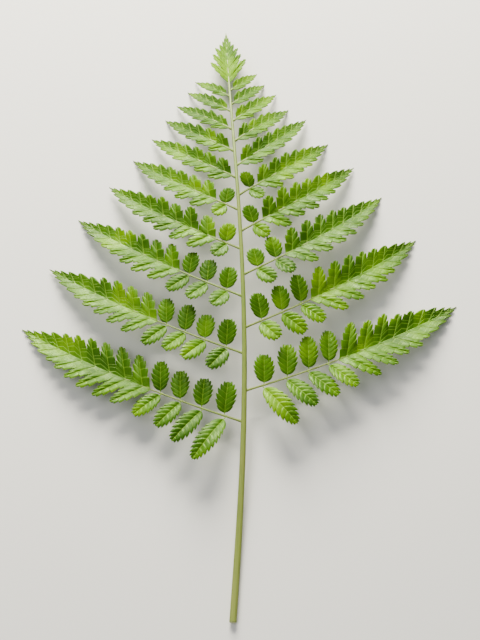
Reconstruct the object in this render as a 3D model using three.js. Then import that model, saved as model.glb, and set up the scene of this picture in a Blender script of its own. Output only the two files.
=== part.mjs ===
// A cut leatherleaf fern frond that lies on a surface with its upper face up.
// Units are millimetres. +Z is up and +Y runs from the cut end of the stalk to the tip.
// The blade is a low arch: the cut end, the tip and the leaflet tips reach the surface.
import * as THREE from 'three';

// Driving dimensions of the stalk, in millimetres
const STALK_LENGTH = 125;
const BLADE_LENGTH = 305;
const BUTT_RADIUS = 2.2;
const BLADE_RADIUS = 1.7;
const END_RADIUS = 0.6;
const REST_LENGTH = 26;
const ARCH_HEIGHT = 23;
const ARCH_SKEW = 1.45;
const BUTT_ASIDE = -4.21;
const SWAY = 7;
const SWAY_TURNS = 0.66;
const STALK_STEPS = 36;
const STALK_SIDES = 8;

// Driving dimensions of the leaflets, in millimetres and degrees
const PAIRS = 10;
const FIRST_SPACING = 44.5;
const SPACING_RATIO = 0.865;
const RIGHT_OFFSET = 0.45;
const LONGEST_LEAFLET = 162;
const LEAFLET_TAPER = 1.25;
const LEAFLET_FALL = 1.25;
const ANGLE_AT_BASE = 73;
const ANGLE_AT_TIP = 44;
const CURL = 15;
const DROOP = 1.7;
const SEAT_GAP = 0.35;
const LEAF_THICKNESS = 0.6;
const WIDTH_SHARE = 0.93;
const WIDENING = 0.27;
const FOLD = 0.36;
const FOLD_EASE = 0.006;
const FOLD_ROUND = 1.5;
const TIP_CLEARANCE = 0.35;
const BASAL_GROWTH = 0.6;
const BASAL_REACH = 0.17;
const SIDE_OUTLINE = { bulge: 2.4, fall: 0.85 };
const END_OUTLINE = { bulge: 1.05, fall: 1.05 };
const END_HALF_WIDTH = 15;

// Driving dimensions of the lobes along one leaflet. A leaflet shorter than SIMPLE_LENGTH is
// only toothed, and one longer than CUT_LENGTH is fully lobed. Past FREE_FROM_LENGTH the lobes
// nearest the seat are free, up to FREE_UNTIL of the length on the longest ones.
const SIMPLE_LENGTH = 26;
const CUT_LENGTH = 100;
const FREE_UNTIL = 0.43;
const FREE_FROM_LENGTH = 33.8;
const FREE_GROWTH_LENGTH = 110;
const BARE_STALK = 2.8;
const BARE_AT_LEAST = 0.8;
const BASISCOPIC_START = 0.6;
const LOBES_AT_LEAST = 4.5;
const LENGTH_PER_LOBE = 15.5;
const LOBE_NARROWING = 0.72;
const LOBE_ROOT = 0.45;
const LOBE_ANGLE = { simple: 58, cut: 78, end: 46 };
const LOBE_ANGLE_DROP = { simple: 20, cut: 26, end: 14 };
const ANGLE_DROP_POWER = 0.7;
const SHALLOW_REACH = 0.62;
const TOOTH_REACH = 0.86;
const JOINING_POWER = 0.6;
const HALF_JOINED = 0.5;
const NECK_WIDTH = 1.6;
const END_CUT = 0.85;

// Outer points of a lobe, as shares of its length outward and of its half width forward
const FREE_LOBE = { before: [[0.3, -0.85], [0.72, -0.8]], after: [[0.8, 0.7], [0.4, 1]] };
const FREE_LOBE_WIDTH = { first: 0.72, last: 0.9 };
const JOINED_LOBE = [[0.62, -0.94], [1, 0], [0.72, 0.94]];
const TIP_LOBE = [[0.88, -0.6], [1, 0.2]];

// Midrib of a leaflet, in millimetres: its size at the seat, the share of it that is left at the
// tip, and the leaflet length from which it is full size
const COSTA_HALF_WIDTH = 0.85;
const COSTA_TIP_SHARE = 0.4;
const COSTA_LEAST_SHARE = 0.35;
const COSTA_GROWTH_LENGTH = 80;
const COSTA_DEPTH = 1.3;
const COSTA_DEPTH_TIP_SHARE = 0.25;
const COSTA_DEPTH_LENGTH = 60;

// Irregularity of a grown leaf, as plus or minus amounts
const ANGLE_SPREAD = 0.6;
const LENGTH_SPREAD = 0.035;
const CURL_SPREAD = 3;
const TWIST_SPREAD = 0.09;
const HOVER = 3;

const LENGTH = STALK_LENGTH + BLADE_LENGTH;
const SIDES = [{ name: 'left', sign: -1, offset: 0 }, { name: 'right', sign: 1, offset: RIGHT_OFFSET }];
const ACROSCOPIC = 1;
const BASISCOPIC = -1;

const leafGreen = new THREE.MeshStandardMaterial({ color: 0x5a8a2c, roughness: 0.45, metalness: 0 });
const stalkGreen = new THREE.MeshStandardMaterial({ color: 0x93a35a, roughness: 0.6, metalness: 0 });

const radians = THREE.MathUtils.degToRad;
const blend = THREE.MathUtils.lerp;
const limit = THREE.MathUtils.clamp;

// A repeatable number from -1 to 1 for a leaflet and a purpose
function wobble(leaflet, purpose) {
  const wave = Math.sin(leaflet * 12.9898 + purpose * 78.233) * 43758.5453;
  return 2 * (wave - Math.floor(wave)) - 1;
}

// Stalk radius at a distance from the cut end
function stalkRadius(distance) {
  const below = limit((distance - REST_LENGTH) / (STALK_LENGTH - REST_LENGTH), 0, 1);
  const above = limit((distance - STALK_LENGTH) / BLADE_LENGTH, 0, 1);
  return blend(blend(BUTT_RADIUS, BLADE_RADIUS, below), END_RADIUS, above);
}

// Axis of the stalk: flat at the cut end, then one low arch that comes down at the tip
function stalkPoint(distance) {
  const run = Math.max(0, distance - REST_LENGTH) / (LENGTH - REST_LENGTH);
  const lift = ARCH_HEIGHT * Math.sin(Math.PI * Math.pow(Math.min(run, 1), ARCH_SKEW));
  const seat = stalkRadius(distance) * Math.cos(Math.PI / STALK_SIDES);
  const sideways = BUTT_ASIDE + SWAY * Math.sin(2 * Math.PI * SWAY_TURNS * distance / LENGTH);
  return new THREE.Vector3(sideways, distance - LENGTH / 2, seat + lift);
}

// Heading of the stalk's axis, from +Y toward +X
function stalkHeading(distance) {
  const near = stalkPoint(distance - 0.5);
  const far = stalkPoint(distance + 0.5);
  return Math.atan2(far.x - near.x, far.y - near.y);
}

// Distance along the stalk of a leaflet's seat, each gap a fixed share of the one before
function seatDistance(index) {
  const gaps = (1 - Math.pow(SPACING_RATIO, index)) / (1 - SPACING_RATIO);
  return STALK_LENGTH + FIRST_SPACING * gaps;
}

// Everything that sets one leaflet apart from the others
function leafletPlan(index, side) {
  const serial = 2 * index + (side.sign > 0 ? 1 : 0);
  const gap = FIRST_SPACING * Math.pow(SPACING_RATIO, index);
  const distance = seatDistance(index) + side.offset * gap;
  const along = (distance - STALK_LENGTH) / BLADE_LENGTH;
  const angle = blend(ANGLE_AT_BASE, ANGLE_AT_TIP, along) + ANGLE_SPREAD * wobble(serial, 1);
  const fall = Math.pow(1 - Math.pow(along, LEAFLET_TAPER), LEAFLET_FALL);
  const length = LONGEST_LEAFLET * fall * (1 + LENGTH_SPREAD * wobble(serial, 2));
  const across = 0.5 * WIDTH_SHARE * gap * Math.sin(radians(angle));
  const hovers = index % 2 === 1 ? 0.5 + 0.5 * wobble(serial, 4) : 0;
  return {
    distance, length, angle,
    sign: side.sign,
    curl: CURL + CURL_SPREAD * wobble(serial, 3),
    twist: TWIST_SPREAD * wobble(serial, 5),
    tipHeight: TIP_CLEARANCE + HOVER * hovers,
    halfWidths: { [ACROSCOPIC]: across, [BASISCOPIC]: across / Math.sqrt(SPACING_RATIO) },
    growth: index === 0 ? BASAL_GROWTH : 0,
    bare: BARE_STALK * gap / FIRST_SPACING + BARE_AT_LEAST,
    outline: SIDE_OUTLINE,
    ...lobing(length),
  };
}

// How deeply a leaflet of this length is divided, and how its lobes lean
function lobing(length) {
  const cut = limit((length - SIMPLE_LENGTH) / (CUT_LENGTH - SIMPLE_LENGTH), 0, 1);
  return {
    cut,
    widening: WIDENING * cut,
    free: FREE_UNTIL * limit((length - FREE_FROM_LENGTH) / FREE_GROWTH_LENGTH, 0, 1),
    lobeAngle: blend(LOBE_ANGLE.simple, LOBE_ANGLE.cut, cut),
    lobeAngleDrop: blend(LOBE_ANGLE_DROP.simple, LOBE_ANGLE_DROP.cut, cut),
  };
}

// Angle between the midrib and a lobe's own vein, smaller toward the tip
function veinAngle(plan, share) {
  return radians(plan.lobeAngle - plan.lobeAngleDrop * Math.pow(share, ANGLE_DROP_POWER));
}

// How far the lobes are joined at a place along the leaflet: 0 where free, 1 at the tip
function joining(plan, share) {
  return limit((share - plan.free) / (1 - plan.free), 0, 1);
}

// A place on a midrib: its centre, and the unit direction across it toward the frond's tip
function midribPlace(x, y, z, heading, sign) {
  return { x, y, z, acrossX: -sign * Math.cos(heading), acrossY: sign * Math.sin(heading) };
}

// Midrib of a side leaflet, as a function of the distance from its seat
function leafletMidrib(plan) {
  const seat = stalkPoint(plan.distance);
  const lean = stalkHeading(plan.distance);
  const angle = radians(plan.angle);
  const reach = stalkRadius(plan.distance) / Math.sin(angle) + SEAT_GAP;
  const start = reach + COSTA_HALF_WIDTH * Math.cos(angle);
  const first = lean + plan.sign * angle;
  return (run) => {
    const share = run / plan.length;
    const bend = plan.sign * radians(plan.curl) * share;
    const x = seat.x + start * Math.sin(first) + run * Math.sin(first - 0.5 * bend);
    const y = seat.y + start * Math.cos(first) + run * Math.cos(first - 0.5 * bend);
    const z = blend(seat.z, plan.tipHeight, Math.pow(limit(share, 0, 1), DROOP));
    return midribPlace(x, y, z, first - bend, plan.sign);
  };
}

// Midrib of the end leaflet: the stalk's own axis carried on to the tip
function terminalMidrib(plan) {
  return (run) => {
    const point = stalkPoint(plan.distance + run);
    return midribPlace(point.x, point.y, point.z, stalkHeading(plan.distance + run), plan.sign);
  };
}

// Height that the trough-like fold of a leaflet adds at an offset from the midrib
function foldHeight(plan, offset) {
  const rise = Math.sqrt(offset * offset + FOLD_ROUND * FOLD_ROUND) - FOLD_ROUND;
  return FOLD * rise - FOLD_EASE * offset * offset + plan.twist * offset;
}

// Half width of a leaflet as a share of its half width at the seat. Neighbouring leaflets
// spread apart, so a long one widens a little before it narrows to its tip.
function envelope(plan, share) {
  const narrowing = Math.pow(Math.max(0, 1 - Math.pow(share, plan.outline.bulge)), plan.outline.fall);
  return (1 + plan.widening * share) * narrowing;
}

// Cell boundaries along one side of the midrib: each lobe's cell is shorter than the last
function cellEdges(plan, side) {
  const count = Math.round(LOBES_AT_LEAST + plan.length / LENGTH_PER_LOBE);
  const weights = Array.from({ length: count }, (_, i) => 1 - LOBE_NARROWING * (i + 0.5) / count);
  const total = weights.reduce((sum, weight) => sum + weight, 0);
  const start = plan.bare * (side === BASISCOPIC ? BASISCOPIC_START : 1);
  const edges = [start];
  for (const weight of weights) {
    edges.push(edges[edges.length - 1] + weight / total * (plan.length - start));
  }
  edges[count] = plan.length;
  return edges;
}

// Outer points of one lobe, from its near end to its far end, on a straightened leaflet
function lobePoints(plan, side, near, far) {
  const width = far - near;
  const root = near + LOBE_ROOT * width;
  const share = root / plan.length;
  const angle = veinAngle(plan, share);
  const growth = side === BASISCOPIC ? plan.growth * Math.exp(-Math.pow(share / BASAL_REACH, 2)) : 0;
  const length = plan.halfWidths[side] * envelope(plan, share) * (1 + growth) / Math.sin(angle);
  const half = 0.5 * width * Math.sin(angle);
  const at = ([out, forward]) => new THREE.Vector2(
    root + out * length * Math.cos(angle) + forward * half * Math.sin(angle),
    side * (out * length * Math.sin(angle) - forward * half * Math.cos(angle)));
  if (far / plan.length < plan.free) {
    const edge = side * costaHalfWidth(plan, share);
    const neck = 0.5 * Math.min(NECK_WIDTH, 0.5 * width);
    const widest = blend(FREE_LOBE_WIDTH.first, FREE_LOBE_WIDTH.last, share / plan.free);
    const margin = (points) => points.map(([out, forward]) => at([out, forward * widest]));
    return [
      new THREE.Vector2(root - neck, edge), ...margin(FREE_LOBE.before), at([1, 0]),
      ...margin(FREE_LOBE.after), new THREE.Vector2(root + neck, edge),
    ];
  }
  return (joining(plan, share) < HALF_JOINED ? JOINED_LOBE : TIP_LOBE).map(at);
}

// Point between two lobes: at the midrib's edge where they are free, farther out where joined
function sinusPoint(plan, side, edge) {
  const share = edge / plan.length;
  const rib = costaHalfWidth(plan, share);
  const shallow = blend(SHALLOW_REACH, 0, plan.cut);
  const depth = blend(shallow, TOOTH_REACH, Math.pow(joining(plan, share), JOINING_POWER));
  const reach = share < plan.free ? 0 : plan.halfWidths[side] * envelope(plan, share) * depth;
  const offset = Math.max(rib, reach);
  return new THREE.Vector2(edge + (offset - rib) / Math.tan(veinAngle(plan, share)), side * offset);
}

// Half width of a leaflet's midrib, narrower toward the tip and on a short leaflet
function costaHalfWidth(plan, share) {
  const growth = Math.min(1, COSTA_LEAST_SHARE + plan.length / COSTA_GROWTH_LENGTH);
  return COSTA_HALF_WIDTH * blend(1, COSTA_TIP_SHARE, share) * growth;
}

// One side of a straightened leaflet as cells, each an outline from the midrib outward
function sideCells(plan, side, midribStations) {
  const edges = cellEdges(plan, side);
  const tip = new THREE.Vector2(plan.length, 0);
  const seat = new THREE.Vector2(0, side * costaHalfWidth(plan, 0));
  const borders = edges.map((edge) => (edge < plan.length ? sinusPoint(plan, side, edge) : tip));
  const cells = [{ near: 0, far: edges[0], outline: [seat, borders[0]] }];
  for (let i = 0; i + 1 < edges.length; i += 1) {
    const last = i + 2 === edges.length;
    const lobe = last ? [] : lobePoints(plan, side, edges[i], edges[i + 1]);
    cells.push({ near: edges[i], far: edges[i + 1], outline: [borders[i], ...lobe, borders[i + 1]] });
  }
  for (const cell of cells) {
    cell.midrib = midribStations
      .filter((station) => station >= cell.near && station <= cell.far)
      .map((station) => new THREE.Vector2(station, 0));
  }
  return cells;
}

// Vertex store of a flat outline: one index for each different point
function pointStore() {
  const points = [];
  const known = new Map();
  const indexOf = (point) => {
    const key = `${point.x.toFixed(4)},${point.y.toFixed(4)}`;
    if (!known.has(key)) {
      known.set(key, points.length);
      points.push(point);
    }
    return known.get(key);
  };
  return { points, indexOf };
}

// Triangles of one cell, counter-clockwise on the straightened leaflet
function cellTriangles(cell, store) {
  const outward = cell.outline.filter((point) => Math.abs(point.y) > 0);
  const contour = [...cell.midrib, ...outward.reverse()];
  if (THREE.ShapeUtils.isClockWise(contour)) {
    contour.reverse();
  }
  const faces = THREE.ShapeUtils.triangulateShape(contour, []);
  return faces.map((face) => face.map((corner) => store.indexOf(contour[corner])));
}

// Outer edges of the triangles: every directed edge that no other triangle uses backwards
function boundaryEdges(triangles) {
  const edges = triangles.flatMap(([a, b, c]) => [[a, b], [b, c], [c, a]]);
  const used = new Set(edges.map(([from, to]) => `${from}_${to}`));
  return edges.filter(([from, to]) => !used.has(`${to}_${from}`));
}

// Closed solid of a leaflet: an upper and a lower face over the outline, and a wall round it
function leafletGeometry(plan, midrib) {
  const stations = [0, ...cellEdges(plan, ACROSCOPIC), ...cellEdges(plan, BASISCOPIC)];
  const inOrder = [...new Set(stations)].sort((a, b) => a - b);
  const store = pointStore();
  const cells = [ACROSCOPIC, BASISCOPIC].flatMap((side) => sideCells(plan, side, inOrder));
  const flat = cells.flatMap((cell) => cellTriangles(cell, store));
  const count = store.points.length;
  const positions = [];
  for (const level of [1, -1]) {
    for (const point of store.points) {
      positions.push(...leafPoint(plan, midrib, point, level));
    }
  }
  const upper = plan.sign < 0 ? flat.map(([a, b, c]) => [a, c, b]) : flat;
  const lower = upper.map(([a, b, c]) => [c + count, b + count, a + count]);
  const wall = boundaryEdges(upper).flatMap(([from, to]) => [
    [from, from + count, to + count], [from, to + count, to]]);
  const geometry = new THREE.BufferGeometry();
  geometry.setAttribute('position', new THREE.Float32BufferAttribute(positions, 3));
  geometry.setIndex([...upper, ...lower, ...wall].flat());
  geometry.computeVertexNormals();
  return geometry;
}

// Place of a point of the straightened leaflet on its upper (1) or lower (-1) face
function leafPoint(plan, midrib, point, level) {
  const at = midrib(point.x);
  const share = limit(point.x / plan.length, 0, 1);
  const onMidrib = point.y === 0;
  const growth = Math.min(1, plan.length / COSTA_DEPTH_LENGTH);
  const rib = COSTA_DEPTH * blend(1, COSTA_DEPTH_TIP_SHARE, share) * growth;
  const below = onMidrib ? Math.max(rib, 0.5 * LEAF_THICKNESS) : 0.5 * LEAF_THICKNESS;
  const rise = level > 0 ? 0.5 * LEAF_THICKNESS : -below;
  return [
    at.x + at.acrossX * point.y,
    at.y + at.acrossY * point.y,
    at.z + foldHeight(plan, point.y) + rise,
  ];
}

// Tapered eight-sided stalk, turned straight and then laid along its curve
function stalkGeometry(endDistance) {
  const profile = [new THREE.Vector2(0, 0), new THREE.Vector2(BUTT_RADIUS, 0)];
  for (let step = 0; step <= STALK_STEPS; step += 1) {
    const distance = blend(REST_LENGTH, endDistance, step / STALK_STEPS);
    profile.push(new THREE.Vector2(stalkRadius(distance), distance));
  }
  profile.push(new THREE.Vector2(0, endDistance));
  const geometry = new THREE.LatheGeometry(profile, STALK_SIDES, Math.PI / STALK_SIDES);
  const position = geometry.getAttribute('position');
  for (let i = 0; i < position.count; i += 1) {
    const axis = stalkPoint(position.getY(i));
    position.setXYZ(i, axis.x + position.getX(i), axis.y, axis.z + position.getZ(i));
  }
  geometry.computeVertexNormals();
  return geometry;
}

function stalk(endDistance) {
  const mesh = new THREE.Mesh(stalkGeometry(endDistance), stalkGreen);
  mesh.name = 'stipe_and_rachis';
  return mesh;
}

function sideLeaflet(index, side) {
  const plan = leafletPlan(index, side);
  const mesh = new THREE.Mesh(leafletGeometry(plan, leafletMidrib(plan)), leafGreen);
  mesh.name = `pinna_${side.name}_${String(index + 1).padStart(2, '0')}`;
  return mesh;
}

function terminalLeaflet(startDistance) {
  const plan = {
    sign: 1, distance: startDistance, length: LENGTH - startDistance, twist: 0, growth: 0,
    bare: BARE_AT_LEAST,
    halfWidths: { [ACROSCOPIC]: END_HALF_WIDTH, [BASISCOPIC]: END_HALF_WIDTH },
    outline: END_OUTLINE, widening: 0, cut: END_CUT, free: 0,
    lobeAngle: LOBE_ANGLE.end, lobeAngleDrop: LOBE_ANGLE_DROP.end,
  };
  const mesh = new THREE.Mesh(leafletGeometry(plan, terminalMidrib(plan)), leafGreen);
  mesh.name = 'terminal_pinna';
  return mesh;
}

const stalkEnd = seatDistance(PAIRS);
const frond = new THREE.Group();
frond.add(stalk(stalkEnd));
for (const side of SIDES) {
  for (let index = 0; index < PAIRS; index += 1) {
    frond.add(sideLeaflet(index, side));
  }
}
frond.add(terminalLeaflet(stalkEnd + SEAT_GAP));

export default frond;
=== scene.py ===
# A cut leatherleaf fern frond that lies on a pale surface with its upper face up.
# Shapes are worked out in millimetres and put into the meshes in metres.
# +Y runs from the cut end of the stalk to the tip of the blade, and +Z is up.
#
# A leaflet's midrib is its costa. Its lobes, each with a midvein, are joined up to the notch
# between them, the sinus, and near the stalk they are free segments. The acroscopic side of a
# leaflet faces the tip of the frond, and the basiscopic side its cut end.
import math
from dataclasses import dataclass
from functools import partial
from types import SimpleNamespace

import bpy
import numpy as np
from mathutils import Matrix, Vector


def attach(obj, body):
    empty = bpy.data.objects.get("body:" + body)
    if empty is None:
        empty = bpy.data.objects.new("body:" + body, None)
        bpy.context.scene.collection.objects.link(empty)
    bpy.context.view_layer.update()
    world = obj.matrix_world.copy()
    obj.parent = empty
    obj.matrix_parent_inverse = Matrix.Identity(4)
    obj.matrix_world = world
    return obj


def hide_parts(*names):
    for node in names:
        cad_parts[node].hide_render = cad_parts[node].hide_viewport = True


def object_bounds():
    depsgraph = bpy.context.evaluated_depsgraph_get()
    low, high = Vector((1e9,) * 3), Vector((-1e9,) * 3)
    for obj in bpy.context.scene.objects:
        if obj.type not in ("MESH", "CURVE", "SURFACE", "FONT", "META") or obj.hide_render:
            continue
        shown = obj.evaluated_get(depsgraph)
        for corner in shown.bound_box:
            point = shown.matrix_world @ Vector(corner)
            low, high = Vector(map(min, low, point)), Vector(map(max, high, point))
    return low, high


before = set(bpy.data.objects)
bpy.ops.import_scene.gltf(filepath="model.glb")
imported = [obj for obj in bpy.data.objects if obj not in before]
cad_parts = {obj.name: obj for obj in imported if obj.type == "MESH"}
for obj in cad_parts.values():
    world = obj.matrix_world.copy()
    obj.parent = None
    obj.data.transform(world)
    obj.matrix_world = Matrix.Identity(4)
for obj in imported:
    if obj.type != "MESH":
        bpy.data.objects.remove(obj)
CAD_LOW, CAD_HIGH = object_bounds()

bl_info = {
    "name": "Leatherleaf Fern Frond",
    "version": (1, 0, 0),
    "blender": (4, 5, 0),
    "location": "3D View > Sidebar > Frond",
    "description": "Builds a cut fern frond, its leaf surfaces and a small studio",
    "category": "Add Mesh",
}

MM = 0.001
TINY = 1e-9
BODY = "root"
SHARP_ANGLE = math.radians(50)

# Stalk, in millimetres, radians and shares
BLADE_RADIUS = 1.7
END_RADIUS = 0.6
REST_LENGTH = 26
ARCH_SKEW = 1.45
BUTT_ASIDE = -4.21
SWAY = 7
SWAY_TURNS = 0.66
FLAT_SHARE = math.cos(math.pi / 8)
STALK_SIDES = 28
STALK_ROWS = 260
STALK_GROOVE = 0.13
GROOVE_WIDTH = 0.4
CUT_RINGS = np.array([0.04, 0.3, 0.5, 0.66, 0.82, 0.93, 0.985])
CUT_RING_STEP = 0.04
FIRST_ROWS = (0.5, 1.3, 3)

# Leaflets, in millimetres, degrees and shares
PAIRS = 10
SPACING_RATIO = 0.865
RIGHT_OFFSET = 0.45
LEAFLET_TAPER = 1.25
LEAFLET_FALL = 1.25
ANGLE_AT_BASE = 73
ANGLE_AT_TIP = 44
CURL = 15
DROOP = 1.7
SEAT_GAP = 0.35
WIDTH_SHARE = 0.93
WIDENING = 0.27
FOLD = 0.36
FOLD_EASE = 0.006
FOLD_ROUND = 1.5
TIP_CLEARANCE = 0.35
BASAL_GROWTH = 0.6
BASAL_REACH = 0.17
SIDE_OUTLINE = (2.4, 0.85)

# Toothed tip of the blade, in millimetres, degrees and shares
END_OUTLINE = (1.05, 1.05)
END_HALF_WIDTH = 15
END_LOBE_ANGLE = 46
END_LOBE_ANGLE_DROP = 14
END_CUT = 0.85

# Midrib of a leaflet, in millimetres and shares
COSTA_HALF_WIDTH = 0.85
COSTA_NARROWING = 0.4
COSTA_LEAST = 0.35
COSTA_FULL_LENGTH = 80
COSTA_SIDES = 12
COSTA_ROW_STEP = 3
COSTA_ROWS_LEAST = 14
COSTA_END = 0.97
COSTA_ROOT = 0.6
COSTA_FILL = 0.88
COSTA_TAPER = 0.55
COSTA_FLARE = 0.35
COSTA_FLARE_REACH = 1.5
COSTA_HEIGHT = 0.85
COSTA_SUNK = 0.35
COSTA_GROOVE = 0.22
END_COSTA_ROOT = 1.0
END_COSTA_FILL = 1.15
END_COSTA_TAPER = 0.75

# How a leaflet is divided, in millimetres, degrees and shares
SIMPLE_LENGTH = 26
CUT_LENGTH = 100
FREE_LENGTHS = (33.8, 143.8)
FREE_UNTIL = 0.43
BARE_STALK = 2.8
BARE_LEAST = 0.8
BARE_BASISCOPIC = (0.15, 0.6)
LOBES_AT_LEAST = 4.5
LENGTH_PER_LOBE = 15.5
LOBE_NARROWING = 0.72
LOBE_ANGLES = (58, 78)
LOBE_ANGLE_DROPS = (20, 26)
ANGLE_POWER = 0.7
SHALLOW_REACH = 0.62
TOOTH_REACH = 0.86
SINUS_POWER = 0.6
CLOSING_FROM = 0.8
CLOSED_SHARE = 0.45
TAPER_FROM = 0.5
TAPER_FULL = 0.8
REACH_LIMIT = 2.5
HALVINGS = 24

# Irregularity of a grown leaf, as plus or minus amounts
ANGLE_SPREAD = 0.6
LENGTH_SPREAD = 0.035
CURL_SPREAD = 3
TWIST_SPREAD = 0.09
LOBE_SPREAD = 0.07
LOBE_TILT = 0.10
LOBE_ROLL = 0.12

# How high the tips of every second pair may hover, and the slope about which lobes are tilted
HOVER = 3
LOBE_TILT_MIDDLE = -0.02

# What each repeatable number is drawn for, and the large sine that gives them
DRAWS = ("angle", "length", "curl", "hover", "twist", "size", "tone", "tilt", "roll", "turn")
DRAW_STEPS = (12.9898, 78.233)
DRAW_WAVE = 43758.5453

ACROSCOPIC = 1
BASISCOPIC = -1

# Teeth: places along a margin, counted in teeth, and the powers and shares that shape one
TOOTH_STEPS = np.array([0.0, 0.22, 0.5, 0.72, 0.82, 0.93])
TOOTH_TIP = 0.82
TOOTH_POWER = 0.8
TOOTH_LEAN = 0.9
TOOTH_ROOM = 0.8
TOOTH_SUNK = 0.6

# Free segments, in millimetres, teeth and shares
VEIN_PLACE = 0.45
FREE_FILL = (0.8, 0.93)
FREE_TEETH = 1.6
FREE_TOOTH_PITCH = 4.6
FREE_TOOTH_SHARE = 0.28
FREE_TOOTH_GROWTH = 0.09
FREE_TOOTH_LENGTH = 12
FREE_TOOTH_RAMP = (0.2, 0.4)
FREE_TOOTH_POWER = 0.3
FREE_SKEWS = (0.06, 0.16)
FREE_POINTED_LENGTH = 26
FREE_TIP_POWERS = (0.8, 1.25)
FREE_FOOT_POWER = 0.92
FOOT_TURNS = np.linspace(-1.6, -0.25, 6)
ELLIPSE_SHARES = (0.03, 0.3, 0.99)
STALKLET_SHARE = 0.08
STALKLET_LEAST = 0.3
NECK_TURNS = (-4.0, -3.0, -2.2)
NECK_SHARES = np.array([0.4, 0.9])
NECK_ROOT = -0.8
NECK_ROOT_HALF_WIDTH = 0.3
NECK_HALF_WIDTH = 0.26

# Joined lobes, in millimetres, teeth and shares
LOBE_TIP_PLACES = (0.68, 0.88)
LOBE_LEAST = 0.3
LOBE_TEETH = 0.2
LOBE_TOOTH_PITCH = 4.2
LOBE_TOOTH_SHARE = 0.2
LOBE_TOOTH_LIMIT = 2.0
LOBE_TOOTH_RISE = 3
LOBE_TOOTH_END = 0.98
LOBE_TOOTH_POWER = 0.4
SINGLE_TOOTH_SHARE = 0.4
BEFORE_TOOTH_SHARE = 0.7
BEHIND_POWERS = (2.0, 1.3)
BEFORE_POWERS = (1.7, 1.15)
LOBE_PINCH = 0.08
PINCH_RISE = 3
LOBE_ROOT_PLACE = 0.42
SEAM_SHARES = np.array([0.0, 0.3, 0.65, 0.92])
SEAM_TURNS = (-3.0, -2.2, -1.4, -0.6)
SEAM_FADE = 6
SINUS_LIMIT = 0.93
SINUS_EDGE = 0.995
LAST_EDGE = 0.999
TIP_OVERHANG = 0.8
TIP_SINUS = 0.2
TIP_LEAN = 0.05
LAP = 0.012

# Rungs and relief of the leaf, in millimetres and shares
ROW_SHARES = np.array([0.0, 0.1, 0.28, 0.5, 0.72, 0.9, 1.0])
VEIN_LAG = 0.6
LAST_FOOT = 0.985
FOOT_STEP = 0.0006
SOFT_FOOT = 0.12
SOFT_FOOT_LEAST = 0.5
PILLOW_POWER = 0.85
PILLOW_END = 0.86
PILLOW_SPAN = 5
PILLOW_ROOM = 2
PILLOW_LOSS = (0.3, 1.2)
PILLOW_FADE = 1.5
VEIN_DEPTH = 0.13
VEIN_POWER = 0.6
VEIN_SPAN = 3
MIDVEIN_WIDTH = 0.35
MIDVEIN_DEPTH = 0.14
MIDVEIN_END = 1.15
KEEL_SHARE = 1.4
RIM_DROP = 0.28
RIM_POWER = 7
TROUGH = 0.10
LOBE_DROOP = 0.0035
TILT_FROM = 0.8
TILT_RAMP = 0.3
TILT_RAMP_LEAST = 0.5
SEAM_RIM = 5
FLOOR_GAP = 0.05

# Material slots of the pieces
UPPER_FACE, LOWER_FACE, MIDRIB = 0, 1, 2
STALK_SKIN, CUT_FACE = 0, 1

# Sizes of the finishes' patterns, in millimetres, and how much the streaks are drawn out
BLOTCH_SIZE = 28
WAX_SIZE = 8
SPECK_SIZE = 1.4
PORE_SIZE = 0.45
TINT_SIZE = 35
STREAK_SIZE = 0.9
STREAK_STRETCH = 0.04
PITH_GRAIN_SIZE = 0.4
BOARD_TOOTH_SIZE = 2.5

# Relief of each finish: its depth in millimetres and its strength
UPPER_RELIEF = (0.12, 0.9)
LOWER_RELIEF = (0.12, 0.8)
STALK_RELIEF = (0.15, 0.8)
PITH_RELIEF = (0.1, 0.7)
BOARD_RELIEF = (0.05, 0.4)

# How veins and pores share the relief: sunken veins above, raised ones below
SUNKEN_VEINS = -0.8
UPPER_PORES = 0.5
LOWER_PORES = 0.7

# How far a lobe's own tone, the nearness of the tip and the stalk's age move the colours
UPPER_TONE = 0.15
LOWER_TONE = 0.3
YOUNG_TONE = 0.07
YOUNG_TIP = 0.05
TINT_SPREAD = 0.8
AGEING = (0.05, -0.35)

# Where a pattern begins to show and where it shows in full
VEIN_LINES = (0.62, 1.0)
BLOTCHES = (0.3, 0.7)
FRESHER_PARTS = (0.5, 0.78)
SPECKS = (0.35, 0.75)
WAX_PATCHES = (0.35, 0.65)
LEAF_GRAIN = (0.25, 0.8)
STREAKS = (0.4, 0.75)
EVEN_GRAIN = (0.2, 0.8)
PITH_GRAIN = (0.3, 0.7)
PITH_SPECKS = (0.35, 0.7)
BUNDLE_BEAT = (0.2, 0.9)
RIND_FROM = (0.8, 0.95)

# Bands beside the midvein, in from the rim for the painted sheen there, and along the frond, in
# millimetres and metres
MIDVEIN_BAND = (0.12, 0.5)
RIM_SHEEN_BAND = (0.05, 0.45)
TIP_STRETCH = (0.02, 0.21)
AGEING_STRETCH = (-0.23, 0.05)

# Strands in the cut end: how many, and the ring they lie on in shares of the stalk's radius
BUNDLES = 7.0
BUNDLE_RING = 0.6
BUNDLE_BAND = (0.05, 0.16)

# Roughness of each finish, from its smoothest to its dullest places, and what adds to it
UPPER_ROUGHNESS = (0.26, 0.42)
WAX_DULLING = 0.2
TIP_DULLING = 0.25
LOWER_ROUGHNESS = (0.55, 0.7)
STALK_ROUGHNESS = (0.38, 0.55)
PITH_ROUGHNESS = (0.35, 0.6)
BOARD_ROUGHNESS = (0.75, 0.85)

# Shine of each finish
WAXY_SHINE = {"IOR": 1.45, "Specular Tint": (0.72, 1.0, 0.4, 1.0), "Specular IOR Level": 0.35,
              "Coat Weight": 0.06, "Coat Roughness": 0.34, "Coat IOR": 1.4}
PLANT_SHINE = {"IOR": 1.45}
WET_SHINE = {"IOR": 1.4}

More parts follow.
